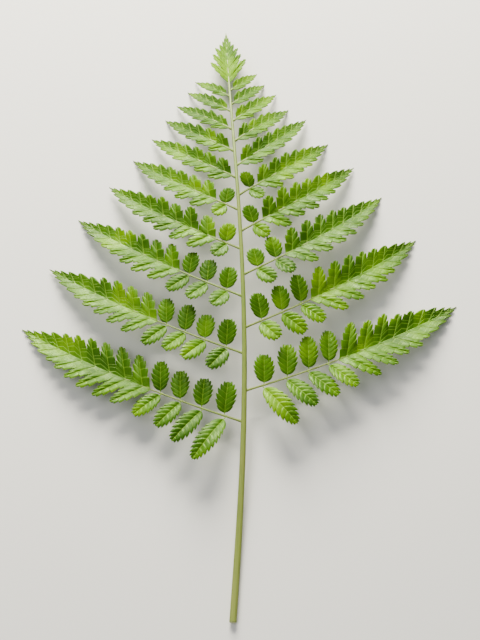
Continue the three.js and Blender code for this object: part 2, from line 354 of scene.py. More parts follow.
# Studio, in metres, with linear colours and the camera's sensor in millimetres
FLOOR_SIZE = 6.0
SENSOR_WIDTH = 36.0
KEY_LIGHT = {"place": (-0.15, 1.2, 0.62), "target": (0.0, 0.05, 0.0), "size": 0.8,
             "colour": (1.0, 0.97, 0.86)}
TOP_LIGHT = {"place": (-0.7, -0.25, 1.3), "target": (0.0, 0.0, 0.0), "size": 1.0,
             "colour": (1.0, 1.0, 1.0)}
AIR_COLOUR = (0.93, 0.96, 1.0, 1.0)
AIR_STRENGTH = 0.3
VIEW_LOOK = "AgX - Medium High Contrast"


def blend(start, end, share):
    """The value a share of the way from start to end."""
    return start + (end - start) * share


def ramp(value, low, high):
    """0 up to the low value, 1 from the high one on, and a straight line between them."""
    return np.clip((value - low) / (high - low), 0, 1)


def wobble(serial, draw):
    """A repeatable number from -1 to 1: the fraction of a large sine, doubled, less one."""
    turn = serial * DRAW_STEPS[0] + (1 + DRAWS.index(draw)) * DRAW_STEPS[1]
    wave = np.sin(turn) * DRAW_WAVE
    return 2 * (wave - np.floor(wave)) - 1


class FrondPlan:
    """The frond's layout in millimetres, worked out from the panel's sizes."""

    def __init__(self, sizes):
        self.stalk = sizes.stalk_length / MM
        self.blade = sizes.blade_length / MM
        self.length = self.stalk + self.blade
        self.arch = sizes.arch_height / MM
        self.butt = sizes.butt_radius / MM
        self.spacing = sizes.first_spacing / MM
        self.longest = sizes.longest_leaflet / MM
        self.thickness = sizes.leaf_thickness / MM
        self.tooth = sizes.tooth_depth / MM
        self.pillow = sizes.pillow_height / MM

    def radius(self, distance):
        """Stalk radius: one straight taper below the blade and another along it."""
        below = ramp(distance, REST_LENGTH, self.stalk)
        along = ramp(distance, self.stalk, self.length)
        return blend(blend(self.butt, BLADE_RADIUS, below), END_RADIUS, along)

    def axis(self, distance):
        """Stalk axis: a skewed half sine upward past the resting length, part of a sine sideways."""
        run = ramp(distance, REST_LENGTH, self.length)
        lift = self.arch * np.sin(np.pi * run ** ARCH_SKEW)
        sideways = BUTT_ASIDE + SWAY * np.sin(2 * np.pi * SWAY_TURNS * distance / self.length)
        return sideways, distance - self.length / 2, self.radius(distance) * FLAT_SHARE + lift

    def heading(self, distance):
        """Direction of the stalk's axis in plan, from +Y toward +X, over one millimetre."""
        near_x, near_y, _ = self.axis(distance - 0.5)
        far_x, far_y, _ = self.axis(distance + 0.5)
        return np.arctan2(far_x - near_x, far_y - near_y)

    def seat(self, index):
        """Distance along the stalk of a pair's seat, each gap a fixed share of the last."""
        return self.stalk + self.spacing * (1 - SPACING_RATIO ** index) / (1 - SPACING_RATIO)


@dataclass
class Leaflet:
    """Where one leaflet sits on the frond and how it is divided."""
    frond: FrondPlan
    serial: int
    sign: int
    distance: float
    length: float
    angle: float
    curl: float
    twist: float
    tip_height: float
    half_widths: dict
    growth: float
    bare: float
    outline: tuple
    widening: float
    cut: float
    free: float
    lobe_angle: float
    lobe_angle_drop: float
    ends_frond: bool = False


def side_leaflet(frond, index, sign):
    """The plan of a leaflet on the left (-1) or right (1), by the same rules as its solid.

    Its length is the longest times one less a power of its place along the blade, to a power.
    Its half width is half the gap to the next leaflet, times a share and the sine of its angle.
    """
    serial = 2 * index + (1 if sign > 0 else 0)
    gap = frond.spacing * SPACING_RATIO ** index
    distance = frond.seat(index) + (RIGHT_OFFSET * gap if sign > 0 else 0)
    along = (distance - frond.stalk) / frond.blade
    degrees = blend(ANGLE_AT_BASE, ANGLE_AT_TIP, along) + ANGLE_SPREAD * wobble(serial, "angle")
    fall = (1 - along ** LEAFLET_TAPER) ** LEAFLET_FALL
    length = frond.longest * fall * (1 + LENGTH_SPREAD * wobble(serial, "length"))
    across = 0.5 * WIDTH_SHARE * gap * math.sin(math.radians(degrees))
    hovers = 0.5 + 0.5 * wobble(serial, "hover") if index % 2 == 1 else 0
    cut = float(ramp(length, SIMPLE_LENGTH, CUT_LENGTH))
    return Leaflet(
        frond=frond, serial=serial, sign=sign, distance=distance, length=length,
        angle=math.radians(degrees),
        curl=math.radians(CURL + CURL_SPREAD * wobble(serial, "curl")),
        twist=TWIST_SPREAD * wobble(serial, "twist"),
        tip_height=TIP_CLEARANCE + HOVER * hovers,
        half_widths={ACROSCOPIC: across, BASISCOPIC: across / math.sqrt(SPACING_RATIO)},
        growth=BASAL_GROWTH if index == 0 else 0,
        bare=BARE_STALK * gap / frond.spacing + BARE_LEAST,
        outline=SIDE_OUTLINE, widening=WIDENING * cut, cut=cut,
        free=FREE_UNTIL * float(ramp(length, *FREE_LENGTHS)),
        lobe_angle=blend(*LOBE_ANGLES, cut), lobe_angle_drop=blend(*LOBE_ANGLE_DROPS, cut))


def end_leaflet(frond):
    """The plan of the toothed tip that carries the stalk's own line on."""
    start = frond.seat(PAIRS) + SEAT_GAP
    return Leaflet(
        frond=frond, serial=2 * PAIRS, sign=1, distance=start, length=frond.length - start,
        angle=0, curl=0, twist=0, tip_height=0,
        half_widths={ACROSCOPIC: END_HALF_WIDTH, BASISCOPIC: END_HALF_WIDTH},
        growth=0, bare=BARE_LEAST, outline=END_OUTLINE, widening=0, cut=END_CUT, free=0,
        lobe_angle=END_LOBE_ANGLE, lobe_angle_drop=END_LOBE_ANGLE_DROP, ends_frond=True)


def midrib(leaf, run):
    """Centre of a leaflet and the unit direction across it, at distances from its seat.

    A side leaflet's midrib bends evenly in plan, and its height falls by a power of the share.
    The end leaflet follows the stalk's axis.
    """
    if leaf.ends_frond:
        x, y, z = leaf.frond.axis(leaf.distance + run)
        heading = leaf.frond.heading(leaf.distance + run)
        return x, y, z, -leaf.sign * np.cos(heading), leaf.sign * np.sin(heading)
    seat_x, seat_y, seat_z = leaf.frond.axis(leaf.distance)
    first = leaf.frond.heading(leaf.distance) + leaf.sign * leaf.angle
    start = leaf.frond.radius(leaf.distance) / math.sin(leaf.angle) + SEAT_GAP
    start = start + COSTA_HALF_WIDTH * math.cos(leaf.angle)
    share = run / leaf.length
    bend = leaf.sign * leaf.curl * share
    x = seat_x + start * np.sin(first) + run * np.sin(first - 0.5 * bend)
    y = seat_y + start * np.cos(first) + run * np.cos(first - 0.5 * bend)
    z = blend(seat_z, leaf.tip_height, np.clip(share, 0, 1) ** DROOP)
    heading = first - bend
    return x, y, z, -leaf.sign * np.cos(heading), leaf.sign * np.sin(heading)


def fold_height(leaf, across):
    """Height of the trough-like fold: a rounded V, eased by a parabola, plus a plain twist."""
    rise = np.sqrt(across ** 2 + FOLD_ROUND ** 2) - FOLD_ROUND
    return FOLD * rise - FOLD_EASE * across ** 2 + leaf.twist * across


def lay_out(leaf, along, across, lift):
    """Places flat leaflet points on the frond: midrib, plus across, plus fold and lift."""
    x, y, z, across_x, across_y = midrib(leaf, along)
    height = z + fold_height(leaf, across) + lift
    return np.stack([x + across_x * across, y + across_y * across, height], axis=-1)


def envelope(leaf, share):
    """Half width as a share of that at the seat: one less a power of the share, to a power.

    Neighbouring leaflets spread apart, so a long one widens a little before it narrows.
    """
    bulge, fall = leaf.outline
    narrowing = np.maximum(0, 1 - np.clip(share, 0, 1) ** bulge) ** fall
    return (1 + leaf.widening * share) * narrowing


def vein_angle(leaf, share):
    """Angle between the midrib and the lobes' veins: it closes by a power of the share run."""
    drop = leaf.lobe_angle_drop * np.clip(share, 0, 1) ** ANGLE_POWER
    return np.radians(leaf.lobe_angle - drop)


def lobe_lean(leaf, share):
    """The vein angle, which closes further along the last part so that the leaflet ends sharp."""
    return vein_angle(leaf, share) * blend(1, CLOSED_SHARE, ramp(share, CLOSING_FROM, 1))


def lobe_reach(leaf, side, tip_at, angle, size):
    """Length of a joined lobe along its vein, so that it ends on the leaflet's outline.

    Past TAPER_FROM the outline is read ever nearer to the place of the lobe's own tip, which
    lies ahead of its root. The length is found by halving the range that holds it.
    """
    ahead = float(ramp(tip_at / leaf.length, TAPER_FROM, TAPER_FULL))
    low, high = 0.0, REACH_LIMIT * leaf.half_widths[side]
    for _ in range(HALVINGS):
        reach = 0.5 * (low + high)
        read_at = (tip_at + ahead * reach * math.cos(angle)) / leaf.length
        inside = reach * math.sin(angle) < size * leaf.half_widths[side] * envelope(leaf, read_at)
        low, high = (reach, high) if inside else (low, reach)
    return low


def joining(leaf, share):
    """How far the lobes are joined: 0 where they are free, rising evenly to 1 at the tip."""
    return ramp(share, leaf.free, 1)


def costa_half_width(leaf, share):
    """Half width of the midrib: an even taper toward the tip, scaled down on short leaflets."""
    shortness = min(1, COSTA_LEAST + leaf.length / COSTA_FULL_LENGTH)
    return COSTA_HALF_WIDTH * blend(1, COSTA_NARROWING, share) * shortness


def cell_edges(leaf, side):
    """Ends of the lobes' cells along one side of the midrib.

    The cells fill the leaflet past its bare stalk, and their lengths fall by equal steps.
    """
    count = math.floor(LOBES_AT_LEAST + leaf.length / LENGTH_PER_LOBE + 0.5)
    weights = 1 - LOBE_NARROWING * (np.arange(count) + 0.5) / count
    start = leaf.bare * (blend(*BARE_BASISCOPIC, leaf.cut) if side == BASISCOPIC else 1)
    steps = np.concatenate([[0], np.cumsum(weights) / weights.sum()])
    return start + steps * (leaf.length - start)


def sinus_reach(leaf, side, edge):
    """Distance along the vein at which two neighbouring lobes part.

    It is a share of the leaflet's half width, over the sine of the vein's angle. The share grows
    toward the tip, and free segments part at the edge of the midrib.
    """
    share = edge / leaf.length
    shallow = blend(SHALLOW_REACH, 0, leaf.cut)
    depth = blend(shallow, TOOTH_REACH, joining(leaf, share) ** SINUS_POWER)
    reach = 0 if share < leaf.free else leaf.half_widths[side] * envelope(leaf, share) * depth
    offset = max(costa_half_width(leaf, share), reach)
    return offset / math.sin(lobe_lean(leaf, share))


def tooth_rise(turn):
    """How far a tooth stands out: a power of a sine up to its tip, a parabola down to the notch."""
    step = turn - np.floor(turn)
    up = np.sin(0.5 * np.pi * np.minimum(1, step / TOOTH_TIP)) ** TOOTH_POWER
    return up * (1 - ramp(step, TOOTH_TIP, 1) ** 2)


def tooth_turns(count):
    """Places along a margin, counted in teeth, that catch each notch, flank and tip."""
    return np.append(np.arange(count)[:, None] + TOOTH_STEPS, count)


@dataclass
class Segment:
    """One lobe or free segment, flat: its midvein and the margins behind and before it."""
    root: np.ndarray
    forward: np.ndarray
    length: float
    margins: list
    turns: np.ndarray
    toothed: np.ndarray
    seam: np.ndarray
    tooth_depths: tuple
    serial: int
    joined_length: float

    def aside(self):
        """The direction across the midvein, a quarter turn clockwise from its own."""
        return np.array([self.forward[1], -self.forward[0]])


def free_shape(half, length, turns):
    """Distances out along a free segment's midvein, half widths there and how toothed it is.

    The outline is half an ellipse on each side. Its angle grows with the turns, at one rate up
    to the first tooth and at another past it. The half width is a sine to a power, which is
    higher toward the tip of a long segment. A short narrow stalk leads to it.
    """
    theta = np.pi * np.interp(turns, [FOOT_TURNS[0], 0, turns[-1]], ELLIPSE_SHARES)
    tip_power = blend(*FREE_TIP_POWERS, min(1, length / FREE_POINTED_LENGTH))
    power = np.where(theta > 0.5 * np.pi, tip_power, FREE_FOOT_POWER)
    stalk = STALKLET_SHARE * length + STALKLET_LEAST
    out = stalk + (length - stalk) * (1 - np.cos(theta)) / 2
    toothed = ramp(theta / np.pi, *FREE_TOOTH_RAMP) * np.sin(theta) ** FREE_TOOTH_POWER
    wides = [np.maximum(NECK_HALF_WIDTH, half * np.sin(theta) ** power * (1 + skew * np.cos(theta)))
             for skew in FREE_SKEWS]
    neck = [NECK_ROOT_HALF_WIDTH, NECK_HALF_WIDTH, NECK_HALF_WIDTH]
    return (np.concatenate([[NECK_ROOT], NECK_SHARES * stalk, out]),
            [np.concatenate([neck, wide]) for wide in wides],
            np.pad(toothed, (len(neck), 0)))


def free_segment(leaf, side, near, far, serial):
    """Outline of a free segment: a short stalk, then a toothed oval about the midvein.

    Basal segments that face the stalk's cut end grow longer, by a bell curve of their place.
    """
    width = far - near
    vein_at = near + VEIN_PLACE * width
    share = vein_at / leaf.length
    angle = float(vein_angle(leaf, share))
    growth = leaf.growth * math.exp(-(share / BASAL_REACH) ** 2) if side == BASISCOPIC else 0
    reach = leaf.half_widths[side] * envelope(leaf, share) * (1 + growth)
    length = reach * (1 + LOBE_SPREAD * wobble(serial, "size")) / math.sin(angle)
    half = 0.5 * width * math.sin(angle) * blend(*FREE_FILL, share / leaf.free)
    turn = angle + LOBE_SPREAD * wobble(serial, "turn")
    forward = np.array([math.cos(turn), side * math.sin(turn)])
    before = np.array([math.sin(turn), -side * math.cos(turn)])
    teeth = round(FREE_TEETH + length / FREE_TOOTH_PITCH)
    turns = np.concatenate([FOOT_TURNS, tooth_turns(teeth)])
    out, wides, toothed = free_shape(half, length, turns)
    root = np.array([vein_at, 0.0])
    margins = [root + out[:, None] * forward + front * wide[:, None] * before
               for front, wide in zip((-1, 1), wides)]
    coarser = 1 + FREE_TOOTH_GROWTH * max(0, length - FREE_TOOTH_LENGTH)
    depth = min(FREE_TOOTH_SHARE * half, leaf.frond.tooth * coarser)
    return Segment(
        root=root, forward=forward, length=length, margins=margins,
        turns=np.concatenate([NECK_TURNS, turns]), toothed=toothed, seam=np.zeros(len(out)),
        tooth_depths=(depth, depth), serial=serial, joined_length=0.0)


def lobe_extent(leaf, side, near, far, tip_at, serial):
    """Angle and length of the line to a joined lobe's tip, and how far it is joined each side.

    The last lobe's line lies almost along the midrib and ends just past the leaflet's length.
    """
    ends_leaflet = far > LAST_EDGE * leaf.length
    if ends_leaflet:
        angle = TIP_LEAN
        full = leaf.length + TIP_OVERHANG - tip_at
    else:
        size = 1 + LOBE_SPREAD * wobble(serial, "size")
        angle = float(lobe_lean(leaf, tip_at / leaf.length))
        full = max(lobe_reach(leaf, side, tip_at, angle, size), LOBE_LEAST * (far - near))
    lows = [min(sinus_reach(leaf, side, edge), SINUS_LIMIT * full)
            for edge in (near, SINUS_EDGE * far)]
    if ends_leaflet:
        lows[1] = TIP_SINUS
    return angle, full, lows


def joined_segment(leaf, side, near, far, serial):
    """Outline of a lobe that is joined to its neighbours up to the sinus on each side.

    Up to the sinus the outline is the line that both lobes share, along the veins' direction.
    From there each side is a quarter of a superellipse, pinched in a little past the sinus, that
    ends in the lobe's tip. The tip lies past the middle, so the margin behind it is long and full
    and the one before it short. Lobes lap over each other and over the midrib's line by a hair,
    so that no two faces coincide.
    """
    width = far - near
    joined = float(joining(leaf, (near + VEIN_PLACE * width) / leaf.length))
    mixing = 1 - (1 - joined) * leaf.cut
    tip_place = blend(*LOBE_TIP_PLACES, mixing)
    angle, full, lows = lobe_extent(leaf, side, near, far, near + width * tip_place, serial)
    teeth = max(1, round(LOBE_TEETH + math.hypot(full - min(lows), 0.5 * width) / LOBE_TOOTH_PITCH))
    turns = tooth_turns(teeth)
    phi = 0.5 * np.pi * turns / teeth
    seam_rows = (len(SEAM_SHARES), 0)
    shares = np.append(SEAM_SHARES, np.ones(len(turns)))
    margins = []
    for low, border, powers in zip(lows, (0.0, 1.0), (BEHIND_POWERS, BEFORE_POWERS)):
        power = 2 / blend(*powers, mixing)
        rise = np.pad(np.sin(phi) ** power, seam_rows)
        inward = np.pad(1 - np.abs(np.cos(phi)) ** power, seam_rows)
        pinch = LOBE_PINCH * (1 - inward) * np.minimum(1, PINCH_RISE * rise)
        start = near + width * (border + (tip_place - border) * (inward + pinch))
        out = low * shares + (full - low) * rise
        lean = blend(lobe_lean(leaf, start / leaf.length), angle, inward)
        across = side * (out * np.sin(lean) - LAP)
        margins.append(np.stack([start + out * np.cos(lean), across], axis=-1))
    root = np.array([near + LOBE_ROOT_PLACE * width, -side * LAP])
    axis = margins[0][-1] - root
    length = float(np.linalg.norm(axis))
    fading = np.pad(np.cos(LOBE_TOOTH_END * phi) ** LOBE_TOOTH_POWER, seam_rows)
    depth = min(LOBE_TOOTH_SHARE * width * math.sin(angle), LOBE_TOOTH_LIMIT * leaf.frond.tooth)
    depth = depth * (1 if teeth > 1 else SINGLE_TOOTH_SHARE)
    return Segment(
        root=root, forward=axis / length, length=length, margins=margins,
        turns=np.append(SEAM_TURNS, turns),
        toothed=np.clip(LOBE_TOOTH_RISE * rise, 0, 1) * fading,
        seam=np.clip(1 - SEAM_FADE * rise, 0, 1),
        tooth_depths=(depth, BEFORE_TOOTH_SHARE * depth), serial=serial,
        joined_length=0.5 * sum(lows))


def add_teeth(segment, margin, inner, depth):
    """Adds the teeth to a plain margin: each point goes out along the normal, and forward.

    No tooth is deeper than a share of the room between the margin and the midvein, so that the
    two margins meet in one sharp tip.
    """
    along = np.gradient(margin, axis=0)
    normal = np.stack([along[:, 1], -along[:, 0]], axis=-1)
    normal /= np.maximum(np.linalg.norm(normal, axis=1, keepdims=True), TINY)
    outward = np.sign(((margin - inner) * normal).sum(axis=1, keepdims=True))
    room = np.abs((margin - segment.root) @ segment.aside())
    deep = (np.minimum(depth, TOOTH_ROOM * room) * segment.toothed)[:, None]
    rise = tooth_rise(segment.turns)[:, None] * deep
    return margin + outward * normal * (rise - TOOTH_SUNK * deep) + segment.forward * rise * TOOTH_LEAN


def rung_ends(segment):
    """Where the rungs of a segment start on its midvein and end on its toothed margins.

    A rung starts behind its ends, by a share of its width, so that rungs lie as the side veins
    do. Starts never run backward, and each lies at least a hair past the one behind it.
    """
    reach = [(margin - segment.root) @ segment.forward for margin in segment.margins]
    wide = [np.abs((margin - segment.root) @ segment.aside()) for margin in segment.margins]
    back = [out - VEIN_LAG * across for out, across in zip(reach, wide)]
    least = min(0.0, reach[0][0], reach[1][0]) if segment.joined_length == 0 else 0.0
    base = np.maximum(0.5 * (back[0] + back[1]), least)
    base = np.minimum(np.maximum.accumulate(base), LAST_FOOT * segment.length)
    base = base + FOOT_STEP * np.arange(len(base)) * segment.length
    axis = segment.root + base[:, None] * segment.forward
    lap = LAP * np.sign(segment.forward[1]) * segment.aside()
    margins = [add_teeth(segment, margin, axis, depth) + front * lap
               for margin, depth, front in zip(segment.margins, segment.tooth_depths, (-1, 1))]
    return axis, margins


def flat_grid(segment):
    """Fills a segment's outline: points at fixed shares of each rung, and what they measure.

    The columns run from the margin behind over the midvein to the margin before it. Row is the
    share of the rung, span its length, out the distance along the midvein and off the distance
    across it. Body is 0 at the foot of a free segment and 1 from a little farther out.
    """
    axis, margins = rung_ends(segment)
    halves = [axis[:, None] + (margin - axis)[:, None] * ROW_SHARES[:, None] for margin in margins]
    flat = np.concatenate([halves[0][:, :0:-1], halves[1]], axis=1)
    row = np.concatenate([ROW_SHARES[:0:-1], ROW_SHARES])[None, :]
    spans = [np.linalg.norm(margin - axis, axis=1)[:, None] for margin in margins]
    span = np.where(np.arange(row.size) < len(ROW_SHARES) - 1, *spans)
    out = (flat - segment.root) @ segment.forward
    soft = max(SOFT_FOOT * segment.length, SOFT_FOOT_LEAST)
    return SimpleNamespace(
        flat=flat, row=row, span=span, out=out, off=(flat - segment.root) @ segment.aside(),
        seam=segment.seam[:, None], turns=segment.turns[:, None] + 0 * row,
        body=ramp(out, 0, soft) if segment.joined_length == 0 else 1.0)


def vein_relief(leaf, segment, grid):
    """Height of the pillows between the side veins, less the creases over them and the rim.

    A pillow is a sine across the rung, lower on short rungs and on the joined part. A crease is
    a squared cosine of the turns, at the tooth's tip. The rim falls by a high power of the row.
    """
    apart = 1.0
    if segment.joined_length > 0:
        apart = np.clip(grid.out / (segment.joined_length + PILLOW_ROOM), 0, 1)
    least, gain = PILLOW_LOSS
    apart = apart * min(1, least + gain * (1 - segment.joined_length / segment.length))
    wave = np.sin(np.pi * grid.row ** PILLOW_POWER * blend(PILLOW_END, 1.0, grid.seam))
    swell = wave * np.minimum(1, grid.span / PILLOW_SPAN) * grid.body
    crease = (0.5 + 0.5 * np.cos(2 * np.pi * (grid.turns - TOOTH_TIP))) ** 2
    crease = crease * np.sin(np.pi * grid.row ** VEIN_POWER) * np.minimum(1, grid.span / VEIN_SPAN)
    rim = RIM_DROP * grid.row ** RIM_POWER * (1 - grid.seam) * grid.body
    trough = TROUGH * np.abs(grid.off) * grid.body * (1 - grid.seam * grid.row) * apart
    return leaf.frond.pillow * swell * apart ** PILLOW_FADE - VEIN_DEPTH * crease - rim + trough


def posture(segment, grid):
    """Height from how a lobe is held past its sinus: a tilt, a roll and a parabolic droop."""
    past = np.maximum(0, grid.out - segment.joined_length)
    start = TILT_FROM * segment.joined_length
    held = ramp(grid.out, start, start + max(TILT_RAMP * segment.length, TILT_RAMP_LEAST))
    tilt = LOBE_TILT * wobble(segment.serial, "tilt") + LOBE_TILT_MIDDLE
    roll = LOBE_ROLL * wobble(segment.serial, "roll") * (1 - grid.seam * grid.row ** 2)
    return held * (tilt * past + roll * grid.off) - LOBE_DROOP * past ** 2


class Shell:
    """Vertices, faces and surface values of one piece while it is put together."""

    def __init__(self):
        self.points = []
        self.maps = []
        self.tones = []
        self.faces = []
        self.slots = []
        self.count = 0

    def add_belt(self, belt, maps, tones, slots_along, caps):
        """Adds a grid that closes on itself in its second direction, with end faces.

        Quads join neighbouring grid points, the last point of a row joins the first, and each
        end is closed by the faces that caps lists. The turn is chosen so that faces look out:
        the quads' normals, added up along the way from the middle of their rows, are positive.
        """
        rows, ring = belt.shape[:2]
        index = np.arange(rows * ring).reshape(rows, ring)
        after = np.roll(index, -1, axis=1)
        quads = np.stack([index[:-1], index[1:], after[1:], after[:-1]], axis=-1).reshape(-1, 4)
        faces = [quads, caps[:, ::-1], caps + (rows - 1) * ring]
        corners = belt.reshape(-1, 3)[quads]
        normal = np.cross(corners[:, 2] - corners[:, 0], corners[:, 3] - corners[:, 1])
        centre = belt.mean(axis=1)
        middle = np.repeat(0.5 * (centre[:-1] + centre[1:]), ring, axis=0)
        if (normal * (corners.mean(axis=1) - middle)).sum() < 0:
            faces = [part[:, ::-1] for part in faces]
        for part in faces:
            self.faces.extend((part + self.count).tolist())
        self.slots.append(np.tile(slots_along, rows - 1))
        self.slots.append(np.full(2 * len(caps), slots_along[0]))
        self.points.append(belt.reshape(-1, 3))
        self.maps.append(maps.reshape(-1, 3))
        self.tones.append(tones.ravel())
        self.count += rows * ring


def add_sheet(shell, leaf, segment):
    """Gives a segment its thickness: an upper face, a lower face and the thin wall round them.

    The midvein is a groove above and a deeper keel below, both a bell curve of the distance off.
    The map holds the distances from the midvein and from the rim, in millimetres, and the place
    in teeth. Nothing reaches below the floor, so a low point is raised with the one above it.
    """
    grid = flat_grid(segment)
    ending = np.clip(MIDVEIN_END - grid.out / segment.length, 0, 1)
    groove = MIDVEIN_DEPTH * np.exp(-(grid.off / MIDVEIN_WIDTH) ** 2) * ending
    relief = vein_relief(leaf, segment, grid) - groove + posture(segment, grid)
    half = 0.5 * leaf.frond.thickness
    along, across = grid.flat[..., 0], grid.flat[..., 1]
    upper = lay_out(leaf, along, across, relief + half)
    lower = lay_out(leaf, along, across, relief - half - KEEL_SHARE * groove)
    raised = np.maximum(0, FLOOR_GAP - lower[..., 2])
    upper[..., 2] += raised
    lower[..., 2] += raised
    belt = np.concatenate([upper, lower[:, ::-1]], axis=1)
    rim = (1 - grid.row) * grid.span + SEAM_RIM * grid.seam * grid.row
    values = np.stack([np.abs(grid.off), rim, grid.turns], axis=-1)
    maps = np.concatenate([values, values[:, ::-1]], axis=1)
    tones = np.full(belt.shape[:2], wobble(segment.serial, "tone"))
    count = upper.shape[1]
    slots = np.repeat([UPPER_FACE, LOWER_FACE], count)
    slots[-1] = UPPER_FACE
    step = np.arange(count - 1)
    caps = np.stack([step, 2 * count - 1 - step, 2 * count - 2 - step, step + 1], axis=-1)
    shell.add_belt(belt, maps, tones, slots, caps)


def add_rod(shell, points, wide, high, sides, slot, groove, share=1.0):
    """A rod along a path: each ring is an ellipse across the path with a groove on its top.

    The map holds each point's place across the rod, as shares of its radius.
    """
    tangent = np.gradient(points, axis=0)
    tangent /= np.linalg.norm(tangent, axis=1, keepdims=True)
    beside = np.cross(tangent, [0.0, 0.0, 1.0])
    beside /= np.linalg.norm(beside, axis=1, keepdims=True)
    above = np.cross(beside, tangent)
    turn = 2 * np.pi * np.arange(sides) / sides
    dent = 1 - groove * np.exp(-(((turn - np.pi / 2) / GROOVE_WIDTH) ** 2))
    ring = (beside[:, None, :] * (np.cos(turn) * dent)[None, :, None] * wide[:, None, None]
            + above[:, None, :] * (np.sin(turn) * dent)[None, :, None] * high[:, None, None])
    belt = points[:, None, :] + ring
    share = np.broadcast_to(share, len(points))[:, None]
    maps = np.stack([share * np.cos(turn), share * np.sin(turn), 0 * share * turn], axis=-1)
    caps = np.arange(sides)[None, ::-1]
    shell.add_belt(belt, maps, np.zeros(belt.shape[:2]), np.full(sides, slot), caps)


def add_costa(shell, leaf):
    """The leaflet's midrib: a tapered rod from inside its seat almost to the tip.

    A side leaflet's rod flares at its seat, by an exponential of the distance.
    """
    root = END_COSTA_ROOT if leaf.ends_frond else SEAT_GAP + COSTA_ROOT
    rows = max(COSTA_ROWS_LEAST, int(leaf.length / COSTA_ROW_STEP))
    run = np.linspace(-root, COSTA_END * leaf.length, rows)
    share = np.clip(run / leaf.length, 0, 1)
    x, y, z, _, _ = midrib(leaf, run)
    if leaf.ends_frond:
        wide = END_RADIUS * END_COSTA_FILL * (1 - END_COSTA_TAPER * share)
        flare = 1
    else:
        wide = COSTA_FILL * costa_half_width(leaf, share) * (1 - COSTA_TAPER * share)
        flare = 1 + COSTA_FLARE * np.exp(-np.maximum(run, 0) / COSTA_FLARE_REACH)
    high = COSTA_HEIGHT * wide
    points = np.stack([x, y, z - COSTA_SUNK * high], axis=-1)
    add_rod(shell, points, wide * flare, high * flare, COSTA_SIDES, MIDRIB, COSTA_GROOVE)


def leaflet_shell(leaf):
    """Everything of one leaflet: its midrib, and the segments along both sides of it."""
    shell = Shell()
    add_costa(shell, leaf)
    for side in (ACROSCOPIC, BASISCOPIC):
        edges = cell_edges(leaf, side)
        for number, (near, far) in enumerate(zip(edges[:-1], edges[1:])):
            is_free = far / leaf.length < leaf.free
            outline = free_segment if is_free else joined_segment
            serial = 100 * leaf.serial + 2 * number + side
            add_sheet(shell, leaf, outline(leaf, side, near, far, serial))
    return shell


def stalk_shell(frond):
    """The stalk: a tapered rod with a groove above, closed at its cut end by a shallow dome.

    The dome's rings lie close together at growing shares of the radius. The faces between them
    and the first end face, which is the last but one, have the second material.
    """
    shell = Shell()
    dome = CUT_RING_STEP * np.arange(len(CUT_RINGS))
    *early, start = FIRST_ROWS
    end = frond.seat(PAIRS) + 2 * SEAT_GAP
    distance = np.concatenate([dome, early, np.linspace(start, end, STALK_ROWS)])
    share = np.append(CUT_RINGS, np.ones(len(distance) - len(dome)))
    wide = frond.radius(distance) * share
    points = np.stack(frond.axis(distance), axis=-1)
    high = wide * FLAT_SHARE
    add_rod(shell, points, wide, high, STALK_SIDES, STALK_SKIN, STALK_GROOVE, share)
    slots = np.concatenate(shell.slots)
    slots[:STALK_SIDES * (len(CUT_RINGS) - 1)] = CUT_FACE
    slots[-2] = CUT_FACE
    shell.slots = [slots]
    return shell


def piece_from_shell(shell, name, node, materials):
    """Makes the mesh object of a piece, in metres, hangs it on the body and hides the node it stands
    for.
    """
    mesh = bpy.data.meshes.new(name)
    mesh.from_pydata((np.concatenate(shell.points) * MM).tolist(), [], shell.faces)
    slots = np.concatenate(shell.slots).astype(np.int32)
    mesh.polygons.foreach_set("material_index", slots)
    mesh.polygons.foreach_set("use_smooth", np.ones(len(slots), dtype=bool))
    lobe_map = mesh.attributes.new("lobe_map", "FLOAT_VECTOR", "POINT")
    lobe_map.data.foreach_set("vector", np.concatenate(shell.maps).astype(np.float32).ravel())
    tone = mesh.attributes.new("lobe_tone", "FLOAT", "POINT")
    tone.data.foreach_set("value", np.concatenate(shell.tones).astype(np.float32))
    mesh.set_sharp_from_angle(angle=SHARP_ANGLE)
    for material in materials:
        mesh.materials.append(material)
    mesh.update()
    piece = bpy.data.objects.new(name, mesh)
    bpy.context.scene.collection.objects.link(piece)
    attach(piece, BODY)
    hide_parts(node)
    return piece


def from_hex(text):
    """An sRGB hex colour as linear red, green and blue."""
    values = [int(text[i:i + 2], 16) / 255 for i in (1, 3, 5)]
    return tuple(v / 12.92 if v <= 0.04045 else ((v + 0.055) / 1.055) ** 2.4 for v in values)


def opaque(colour):
    """A panel colour, which is already linear, with its alpha."""
    return (*colour, 1.0)


def per_size(millimetres):
    """Texture scale at which one feature of the pattern has this size."""
    return 1 / (millimetres * MM)


def add_node(tree, kind, inputs=(), **settings):
    """Adds a node, sets its settings, sets or links its inputs, and gives its outputs.

    Inputs come in the order of the node's sockets, or by their names or numbers.
    """
    node = tree.nodes.new("ShaderNode" + kind)
    for key, value in settings.items():
        setattr(node, key, value)
    for key, value in inputs.items() if isinstance(inputs, dict) else enumerate(inputs):
        if isinstance(value, bpy.types.NodeSocket):
            tree.links.new(value, node.inputs[key])
        else:
            node.inputs[key].default_value = value
    return node.outputs


def new_material(name):
    """An empty node material, and the function that adds a node to it."""
    material = bpy.data.materials.new(name)
    material.use_nodes = True
    material.node_tree.nodes.clear()
    return material, partial(add_node, material.node_tree)


# Settings that several nodes share
SMOOTH = {"interpolation_type": "SMOOTHSTEP"}
WEIGHTED_SUM = {"operation": "MULTIPLY_ADD"}


def laid_over(add, ground, coats):
    """The ground's colour with coats laid over it in turn, each by its pattern and strength."""
    colour = opaque(ground)
    for pattern, strength, coat in coats:
        share = add("Math", (pattern, strength), operation="MULTIPLY")[0]
        colour = add("Mix", {0: share, 6: colour, 7: opaque(coat)}, data_type="RGBA")[2]
    return colour


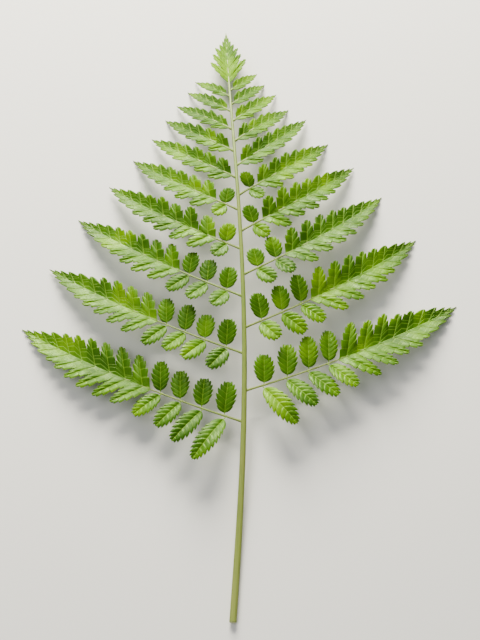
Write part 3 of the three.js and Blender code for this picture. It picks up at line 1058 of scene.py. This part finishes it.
def finish(add, colour, rough, height, relief, shine):
    """Ends a material: its relief as a bump, the shader and the output."""
    depth, strength = relief
    normal = add("Bump", {
        "Height": height, "Distance": depth * MM, "Strength": strength})[0]
    surface = add("BsdfPrincipled", {
        "Base Color": colour, "Roughness": rough, "Normal": normal, **shine})[0]
    add("OutputMaterial", {"Surface": surface})


def leaf_pattern(add):
    """What both leaf faces share: the side veins' lines, the midvein, the rim and the noises.

    Real pores lie about 0.05 mm apart, too fine to show, so their cells are drawn coarser.
    """
    values = add("Attribute", attribute_name="lobe_map")["Vector"]
    off, rim, turns = add("SeparateXYZ", (values,))
    tone = add("Attribute", attribute_name="lobe_tone")["Fac"]
    place = add("TexCoord")["Object"]
    angle = add("Math", (turns, 2 * math.pi), operation="MULTIPLY")[0]
    wave = add("Math", (angle,), operation="COSINE")[0]
    lines = add("MapRange", (wave, *VEIN_LINES), **SMOOTH)[0]
    midvein = add("MapRange", (off, *MIDVEIN_BAND, 1.0, 0.0), **SMOOTH)[0]
    broad = add("TexNoise", {
        "Vector": place, "Scale": per_size(BLOTCH_SIZE), "Detail": 2.0})["Fac"]
    return SimpleNamespace(
        place=place, rim=rim, tone=tone, lines=lines, midvein=midvein, broad=broad,
        veins=add("Math", (lines, midvein), operation="ADD")[0],
        blotches=add("MapRange", (broad, *BLOTCHES), **SMOOTH)[0],
        fine=add("TexNoise", {
            "Vector": place, "Scale": per_size(SPECK_SIZE), "Detail": 3.0})["Fac"],
        pores=add("TexVoronoi", {
            "Vector": place, "Scale": per_size(PORE_SIZE)})["Distance"])


def leaf_upper(colours):
    """Upper face of a leathery fern leaf: a thick, waxy, fine-pored skin over green flesh.

    The wax gives a broad pale gloss toward the light, with a green tint as the flesh shines
    through it. The sunken veins and the pillows between them break it up, it is duller toward
    the tip of the blade, and a paler band along the rim is a painted sheen where the margins catch the
    light.
    """
    material, add = new_material("leathery_leaf_upper_face")
    seen = leaf_pattern(add)
    along = add("SeparateXYZ", (seen.place,))[1]
    tipward = add("MapRange", (along, *TIP_STRETCH), **SMOOTH)[0]
    depth = add("Math", (seen.tone, UPPER_TONE, seen.blotches), use_clamp=True, **WEIGHTED_SUM)[0]
    youth = add("Math", (seen.tone, YOUNG_TONE, seen.broad), **WEIGHTED_SUM)[0]
    youth = add("Math", (tipward, YOUNG_TIP, youth), **WEIGHTED_SUM)[0]
    # Painted sheen: a narrow band in from the rim is mixed toward a paler colour, as lit margins look
    rim = add("MapRange", (seen.rim, *RIM_SHEEN_BAND, 1.0, 0.0), **SMOOTH)[0]
    colour = laid_over(add, colours.leaf_deep, (
        (depth, 1.0, colours.leaf),
        (add("MapRange", (youth, *FRESHER_PARTS), **SMOOTH)[0], 0.7, colours.leaf_young),
        (add("MapRange", (seen.fine, *SPECKS), **SMOOTH)[0], 0.35, colours.leaf_deep),
        (seen.lines, 0.28, colours.vein),
        (seen.midvein, 0.35, colours.vein),
        # painted sheen along the rim
        (rim, 0.4, colours.rim)))
    wax = add("TexNoise", {
        "Vector": seen.place, "Scale": per_size(WAX_SIZE), "Detail": 2.0})["Fac"]
    wax = add("MapRange", (wax, *WAX_PATCHES, 0.0, WAX_DULLING), **SMOOTH)[0]
    rough = add("MapRange", (seen.fine, *LEAF_GRAIN, *UPPER_ROUGHNESS), **SMOOTH)[0]
    rough = add("Math", (rough, wax), operation="ADD")[0]
    rough = add("Math", (tipward, TIP_DULLING, rough), **WEIGHTED_SUM)[0]
    pitted = add("Math", (seen.pores, UPPER_PORES), operation="MULTIPLY")[0]
    height = add("Math", (seen.veins, SUNKEN_VEINS, pitted), **WEIGHTED_SUM)[0]
    finish(add, colour, rough, height, UPPER_RELIEF, WAXY_SHINE)
    return material


def leaf_lower(colours):
    """Lower face of the leaf: paler, matt and soft-looking, with raised veins."""
    material, add = new_material("leathery_leaf_lower_face")
    seen = leaf_pattern(add)
    depth = add("Math", (seen.tone, LOWER_TONE, seen.blotches), use_clamp=True, **WEIGHTED_SUM)[0]
    colour = laid_over(add, colours.back_deep, (
        (depth, 1.0, colours.back),
        (seen.lines, 0.3, colours.vein),
        (seen.midvein, 0.6, colours.vein)))
    rough = add("MapRange", (seen.fine, *LEAF_GRAIN, *LOWER_ROUGHNESS), **SMOOTH)[0]
    height = add("Math", (seen.pores, LOWER_PORES, seen.veins), **WEIGHTED_SUM)[0]
    finish(add, colour, rough, height, LOWER_RELIEF, PLANT_SHINE)
    return material


def stalk_skin(colours):
    """Skin of the stalk and midribs: smooth, slightly ribbed lengthwise, pale green to tan."""
    material, add = new_material("fern_stalk_skin")
    place = add("TexCoord")["Object"]
    along = add("Mapping", {
        "Vector": place, "Scale": (1.0, STREAK_STRETCH, 1.0)})[0]
    streaks = add("TexNoise", {
        "Vector": along, "Scale": per_size(STREAK_SIZE), "Detail": 3.0})["Fac"]
    broad = add("TexNoise", {
        "Vector": place, "Scale": per_size(TINT_SIZE), "Detail": 1.0})["Fac"]
    upward = add("SeparateXYZ", (place,))[1]
    ageing = add("MapRange", (upward, *AGEING_STRETCH, *AGEING), **SMOOTH)[0]
    tan = add("Math", (broad, TINT_SPREAD, ageing), use_clamp=True, **WEIGHTED_SUM)[0]
    ribs = add("MapRange", (streaks, *STREAKS), **SMOOTH)[0]
    colour = laid_over(add, colours.stalk, (
        (tan, 1.0, colours.stalk_tan),
        (ribs, 0.45, colours.stalk_deep)))
    rough = add("MapRange", (streaks, *EVEN_GRAIN, *STALK_ROUGHNESS), **SMOOTH)[0]
    finish(add, colour, rough, streaks, STALK_RELIEF, PLANT_SHINE)
    return material


def cut_pith(colours):
    """Freshly cut end of the stalk: pale wet pith, a ring of brown bundles and a green rind.

    The pith's cells are about 0.1 mm wide, too fine to show, so their grain is drawn coarser.
    """
    material, add = new_material("cut_fern_stalk")
    values = add("Attribute", attribute_name="lobe_map")["Vector"]
    across, upward, _ = add("SeparateXYZ", (values,))
    place = add("TexCoord")["Object"]
    grain = add("TexNoise", {
        "Vector": place, "Scale": per_size(PITH_GRAIN_SIZE), "Detail": 2.0})["Fac"]
    out = add("VectorMath", (values,), operation="LENGTH")["Value"]
    angle = add("Math", (upward, across), operation="ARCTAN2")[0]
    angle = add("Math", (angle, BUNDLES), operation="MULTIPLY")[0]
    wave = add("Math", (angle,), operation="COSINE")[0]
    beat = add("MapRange", (wave, *BUNDLE_BEAT), **SMOOTH)[0]
    ring = add("Math", (out, BUNDLE_RING), operation="SUBTRACT")[0]
    ring = add("Math", (ring,), operation="ABSOLUTE")[0]
    ring = add("MapRange", (ring, *BUNDLE_BAND, 1.0, 0.0), **SMOOTH)[0]
    colour = laid_over(add, colours.pith, (
        (add("MapRange", (grain, *PITH_SPECKS), **SMOOTH)[0], 0.5, colours.stalk),
        (beat, ring, colours.bundle),
        (add("MapRange", (out, *RIND_FROM), **SMOOTH)[0], 1.0, colours.stalk_deep)))
    rough = add("MapRange", (grain, *PITH_GRAIN, *PITH_ROUGHNESS), **SMOOTH)[0]
    finish(add, colour, rough, grain, PITH_RELIEF, WET_SHINE)
    return material


def matt_board(colour):
    """Pale matt background board: almost even, with a soft tooth drawn coarse so that it shows."""
    material, add = new_material("pale_matt_board")
    place = add("TexCoord")["Object"]
    tooth = add("TexNoise", {
        "Vector": place, "Scale": per_size(BOARD_TOOTH_SIZE), "Detail": 2.0})["Fac"]
    rough = add("MapRange", (tooth, *EVEN_GRAIN, *BOARD_ROUGHNESS), **SMOOTH)[0]
    finish(add, opaque(colour), rough, tooth, BOARD_RELIEF, {})
    return material


def length_property(name, description, default):
    """A panel size in metres."""
    return bpy.props.FloatProperty(
        name=name, description=description, default=default, min=0.0, precision=4, unit="LENGTH")


def colour_property(name, description, default):
    """A panel colour, given as an sRGB hex value."""
    return bpy.props.FloatVectorProperty(
        name=name, description=description, default=from_hex(default), size=3,
        min=0.0, max=1.0, subtype="COLOR")


class FrondSizes(bpy.types.PropertyGroup):
    """Sizes of the frond."""
    stalk_length: length_property("Bare stalk", "From the cut end to the first leaflet", 0.125)
    blade_length: length_property("Blade", "From the first leaflet to the tip", 0.305)
    butt_radius: length_property("Stalk radius", "At the cut end", 0.0022)
    arch_height: length_property("Arch", "Rise of the stalk at the middle of the blade", 0.023)
    longest_leaflet: length_property("Longest leaflet", "Length at the foot of the blade", 0.162)
    first_spacing: length_property("First gap", "Between the lowest two leaflets of a side", 0.0445)
    leaf_thickness: length_property("Leaf thickness", "Between the two faces", 0.00042)
    tooth_depth: length_property("Tooth depth", "Of the teeth on small segments", 0.0009)
    pillow_height: length_property("Pillow height", "Rise of the leaf between its veins", 0.0005)


class FrondColours(bpy.types.PropertyGroup):
    """Colours of the frond."""
    leaf: colour_property("Leaf", "Main green of the upper face", "#527b15")
    leaf_deep: colour_property("Deep leaf", "Darker green of the upper face", "#2e520c")
    leaf_young: colour_property("Young leaf", "Yellow-green of the fresher parts", "#769a1c")
    vein: colour_property("Veins", "Veins and midveins", "#8fae4e")
    # Pale colour of the painted sheen along the leaf's margin
    rim: colour_property("Rim", "Gristly margin of the leaf", "#9fb763")
    back: colour_property("Back", "Main green of the lower face", "#6f8f4a")
    back_deep: colour_property("Deep back", "Darker green of the lower face", "#577a38")
    stalk: colour_property("Stalk", "Green of the stalk and midribs", "#7d9143")
    stalk_tan: colour_property("Stalk tan", "Tan of the stalk toward its cut end", "#8d8a50")
    stalk_deep: colour_property("Deep stalk", "Darker streaks of the stalk", "#5d7136")
    pith: colour_property("Pith", "Pale flesh of the cut end", "#c9cd9a")
    bundle: colour_property("Bundles", "Brown strands in the cut end", "#7a6338")


class StudioSettings(bpy.types.PropertyGroup):
    """Camera, lights and floor."""
    elevation: bpy.props.FloatProperty(
        name="Camera elevation", description="Above the horizon", default=math.radians(64),
        subtype="ANGLE", unit="ROTATION")
    lens: bpy.props.FloatProperty(
        name="Lens", description="Focal length in millimetres", default=85.0, min=20.0,
        unit="CAMERA")
    margin: bpy.props.FloatProperty(
        name="Margin", description="Free share of the picture round the frond",
        default=0.035, min=0.0, max=0.4, subtype="FACTOR")
    key_power: bpy.props.FloatProperty(
        name="Key light", description="Power of the large soft light beyond the tip",
        default=58.0, min=0.0, unit="POWER")
    fill_power: bpy.props.FloatProperty(
        name="Fill light", description="Power of the weak light on the near side",
        default=6.0, min=0.0, unit="POWER")
    floor: colour_property("Floor", "Pale board under the frond", "#e8e6e1")


class FROND_OT_stalk(bpy.types.Operator):
    """Builds the cut stalk and its run through the blade"""
    bl_idname = "frond.stalk"
    bl_label = "Build Stalk"

    def execute(self, context):
        frond = FrondPlan(context.scene.frond_sizes)
        colours = context.scene.frond_colours
        materials = [stalk_skin(colours), cut_pith(colours)]
        piece_from_shell(stalk_shell(frond), "stalk", "stipe_and_rachis", materials)
        return {"FINISHED"}


class FROND_OT_leaflets(bpy.types.Operator):
    """Builds the leaflets on both sides and the toothed tip"""
    bl_idname = "frond.leaflets"
    bl_label = "Build Leaflets"

    def execute(self, context):
        frond = FrondPlan(context.scene.frond_sizes)
        colours = context.scene.frond_colours
        materials = [leaf_upper(colours), leaf_lower(colours), stalk_skin(colours)]
        for side, sign in (("left", -1), ("right", 1)):
            for index in range(PAIRS):
                shell = leaflet_shell(side_leaflet(frond, index, sign))
                place = f"{side}_{index + 1:02d}"
                piece_from_shell(shell, f"leaflet_{place}", f"pinna_{place}", materials)
        shell = leaflet_shell(end_leaflet(frond))
        piece_from_shell(shell, "leaflet_tip", "terminal_pinna", materials)
        return {"FINISHED"}


def aim(thing, target):
    """Turns a camera or light so that it looks at a point."""
    thing.rotation_euler = (Vector(target) - thing.location).to_track_quat("-Z", "Y").to_euler()


def add_light(name, power, place, target, size, colour):
    """A square soft light of this size and colour that faces the target."""
    lamp = bpy.data.lights.new(name, "AREA")
    lamp.shape = "SQUARE"
    lamp.size = size
    lamp.energy = power
    lamp.color = colour
    light = bpy.data.objects.new(name, lamp)
    light.location = place
    aim(light, target)
    bpy.context.scene.collection.objects.link(light)


def add_camera(settings):
    """A camera that looks down on the frond from its cut end, so that the frond fills the frame.

    A point t past the aim shows at t times the sine of the elevation, over the camera's distance
    plus t times its cosine. Both ends show equally far out, at the same slope, once the aim has
    moved from the middle toward the cut end by half the length times that slope, times the
    cosine over the sine.
    """
    half_length = (CAD_HIGH.y - CAD_LOW.y) / 2
    sine, cosine = math.sin(settings.elevation), math.cos(settings.elevation)
    data = bpy.data.cameras.new("camera")
    data.lens = settings.lens
    data.sensor_width = SENSOR_WIDTH
    shown = data.sensor_width / 2 / data.lens * (1 - 2 * settings.margin)
    nearer = cosine * half_length * shown / sine
    distance = (half_length + nearer) * (sine / shown - cosine)
    aim_at = (CAD_LOW + CAD_HIGH) / 2 - Vector((0.0, nearer, 0.0))
    camera = bpy.data.objects.new("camera", data)
    camera.location = aim_at + distance * Vector((0.0, -cosine, sine))
    aim(camera, aim_at)
    bpy.context.scene.collection.objects.link(camera)
    bpy.context.scene.camera = camera


class FROND_OT_studio(bpy.types.Operator):
    """Adds the pale floor, soft lights and the camera"""
    bl_idname = "frond.studio"
    bl_label = "Add Studio"

    def execute(self, context):
        settings = context.scene.frond_studio
        bpy.ops.mesh.primitive_plane_add(size=FLOOR_SIZE, location=(0.0, 0.0, 0.0))
        floor = context.active_object
        floor.name = "floor"
        floor.data.materials.append(matt_board(settings.floor))
        add_light("key_light", settings.key_power, **KEY_LIGHT)
        add_light("top_light", settings.fill_power, **TOP_LIGHT)
        world = bpy.data.worlds.new("studio_air")
        world.use_nodes = True
        air = world.node_tree.nodes["Background"].inputs
        air["Color"].default_value = AIR_COLOUR
        air["Strength"].default_value = AIR_STRENGTH
        context.scene.world = world
        context.scene.view_settings.look = VIEW_LOOK
        add_camera(settings)
        return {"FINISHED"}


class FROND_PT_panel(bpy.types.Panel):
    """Sizes, colours and build steps of the frond"""
    bl_label = "Fern Frond"
    bl_idname = "FROND_PT_panel"
    bl_space_type = "VIEW_3D"
    bl_region_type = "UI"
    bl_category = "Frond"

    def draw(self, context):
        scene = context.scene
        for group in (scene.frond_sizes, scene.frond_colours, scene.frond_studio):
            box = self.layout.box()
            for name in group.__annotations__:
                box.prop(group, name)
        for step in STEPS:
            self.layout.operator(step.bl_idname)


STEPS = (FROND_OT_stalk, FROND_OT_leaflets, FROND_OT_studio)
GROUPS = (FrondSizes, FrondColours, StudioSettings)
CLASSES = (*GROUPS, *STEPS, FROND_PT_panel)


def register():
    """Registers the classes and puts the settings on the scene."""
    for item in CLASSES:
        bpy.utils.register_class(item)
    bpy.types.Scene.frond_sizes = bpy.props.PointerProperty(type=FrondSizes)
    bpy.types.Scene.frond_colours = bpy.props.PointerProperty(type=FrondColours)
    bpy.types.Scene.frond_studio = bpy.props.PointerProperty(type=StudioSettings)


def unregister():
    """Removes what register added."""
    del bpy.types.Scene.frond_studio
    del bpy.types.Scene.frond_colours
    del bpy.types.Scene.frond_sizes
    for item in reversed(CLASSES):
        bpy.utils.unregister_class(item)


def main():
    """Builds the frond and the studio in order."""
    register()
    bpy.ops.frond.stalk()
    bpy.ops.frond.leaflets()
    bpy.ops.frond.studio()


if __name__ == "__main__":
    main()
